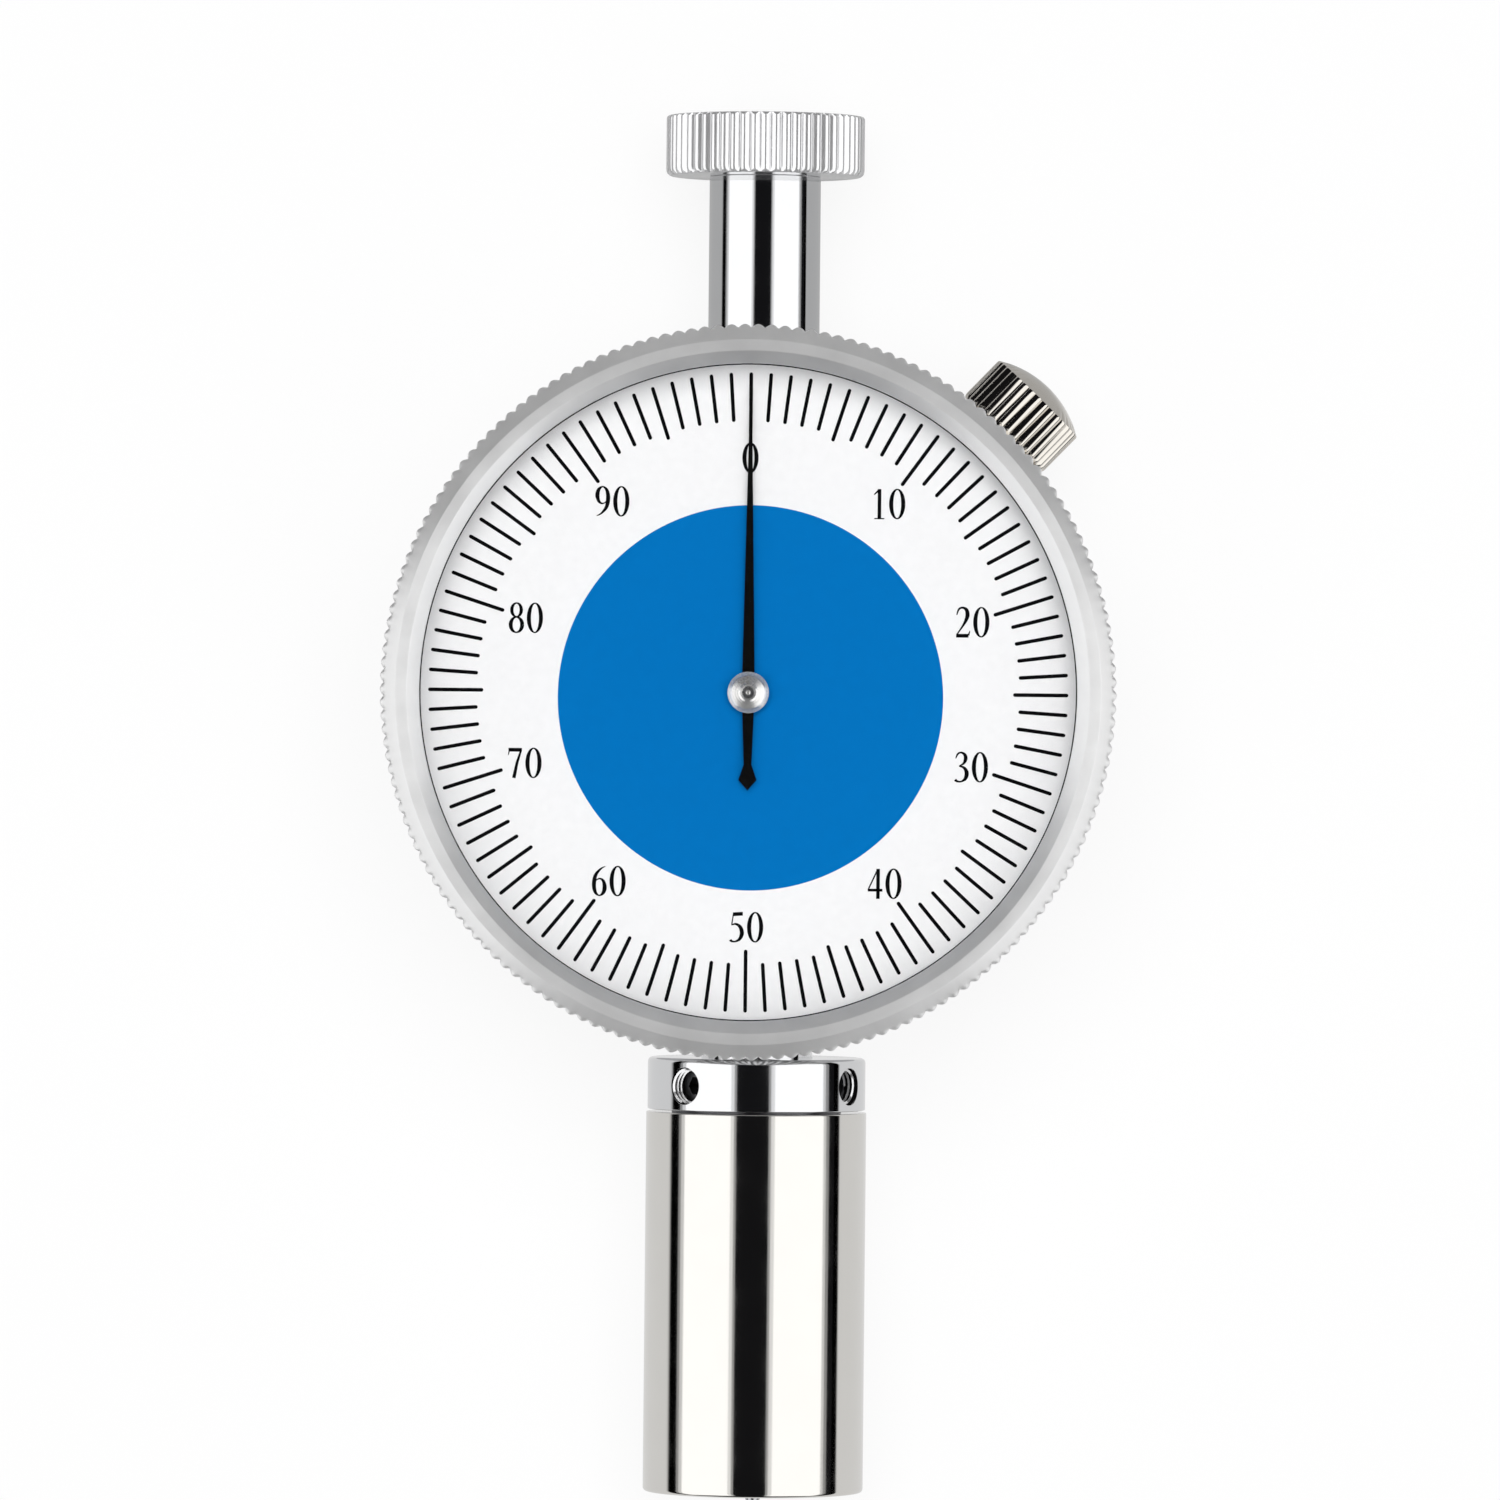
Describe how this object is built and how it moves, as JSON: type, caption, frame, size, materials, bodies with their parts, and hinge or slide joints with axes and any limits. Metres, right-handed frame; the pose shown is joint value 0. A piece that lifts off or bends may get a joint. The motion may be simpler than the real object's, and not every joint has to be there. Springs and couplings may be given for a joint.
{
  "type": "dial hardness gauge",
  "caption": "Pocket dial hardness gauge: round dial with a turning scalloped bezel, side bezel clamp, knurled top knob and a round foot with a spring loaded cone indenter.",
  "frame": {"origin": "centre of the back cover's rear face, where the gauge lies on a bench", "axes": "+Z the way the dial faces, +Y along the stem from the foot to the top knob, +X to the right"},
  "size_m": [0.06, 0.1162, 0.0248],
  "materials": {
    "case_metal": "satin",
    "bezel_metal": "satin",
    "chrome": "polished",
    "nickel": "polished",
    "warm_nickel": "polished",
    "crystal": "clear",
    "dial_white": "matt",
    "pointer_black": "satin",
    "steel": "turned",
    "spring_steel": "polished",
    "brass": "satin"
  },
  "bodies": {
    "case": {"case": "case_metal", "back_cover": "case_metal", "cover_screws": "steel", "main_plate": "brass", "plate_screws": "steel", "front_bridge": "brass", "bridge_pillars": "brass", "bridge_screws": "steel", "rear_bridge": "brass", "rear_pillars": "brass", "rear_bridge_screws": "steel", "bezel_wire": "steel", "hairspring": "spring_steel", "hairspring_stud": "steel", "main_spring": "spring_steel", "spring_adjuster": "brass", "upper_stem": "chrome", "upper_bush": "brass", "top_knob": "nickel", "lower_stem": "chrome", "lower_bush": "brass", "collar": "chrome", "collar_screws": "steel", "foot_sleeve": "nickel"},
    "bezel": {"bezel": "bezel_metal", "crystal": "crystal", "spacer_ring": "steel", "dial_plate": "dial_white", "dial_ring": "steel"},
    "spindle": {"spindle": "steel", "guide_pin": "steel", "indenter": "steel", "spring_seat": "steel"},
    "rack_pinion": {"rack_pinion": "brass", "drive_gear": "brass"},
    "pointer": {"centre_pinion": "steel", "pointer": "pointer_black", "pointer_hub": "chrome"},
    "take_up": {"take_up_gear": "brass", "take_up_arbor": "steel"},
    "clamp_shoe": {"clamp_shoe": "warm_nickel"},
    "clamp_screw": {"clamp_screw": "warm_nickel"}
  },
  "joints": [
    {"name": "spindle_slide", "type": "slide", "parent": "case", "child": "spindle", "axis": [0, 1, 0], "range_m": [0, 0.0025], "stiffness_N_per_m": 17800, "deforming": ["main_spring"]},
    {"name": "pinion_turn", "type": "hinge", "parent": "case", "child": "rack_pinion", "pos_m": [-0.00189, -0.00918, 0.0094], "axis": [0, 0, 1], "range_deg": [0, 90]},
    {"name": "pointer_turn", "type": "hinge", "parent": "case", "child": "pointer", "pos_m": [0, 0, 0.019], "axis": [0, 0, 1], "range_deg": [-360, 0]},
    {"name": "take_up_turn", "type": "hinge", "parent": "case", "child": "take_up", "pos_m": [-0.00469, 0.00812, 0.015], "axis": [0, 0, 1], "range_deg": [0, 90], "deforming": ["hairspring"]},
    {"name": "bezel_turn", "type": "hinge", "parent": "case", "child": "bezel", "pos_m": [0, 0, 0.019], "axis": [0, 0, 1], "continuous": true},
    {"name": "clamp_shoe_slide", "type": "slide", "parent": "case", "child": "clamp_shoe", "axis": [-0.6947, -0.7193, 0], "range_m": [-0.0005, 0.0002]},
    {"name": "clamp_screw_turn", "type": "hinge", "parent": "clamp_shoe", "child": "clamp_screw", "pos_m": [0.02084, 0.02158, 0.0094], "axis": [-0.6947, -0.7193, 0], "range_deg": [-360, 144]}
  ],
  "couplings": [
    {"joint": "pinion_turn", "follows": "spindle_slide", "rad_per_m": 628.32},
    {"joint": "pointer_turn", "follows": "spindle_slide", "rad_per_m": -2513.3},
    {"joint": "take_up_turn", "follows": "spindle_slide", "rad_per_m": 628.32},
    {"joint": "clamp_screw_turn", "follows": "clamp_shoe_slide", "rad_per_m": 12566}
  ]
}
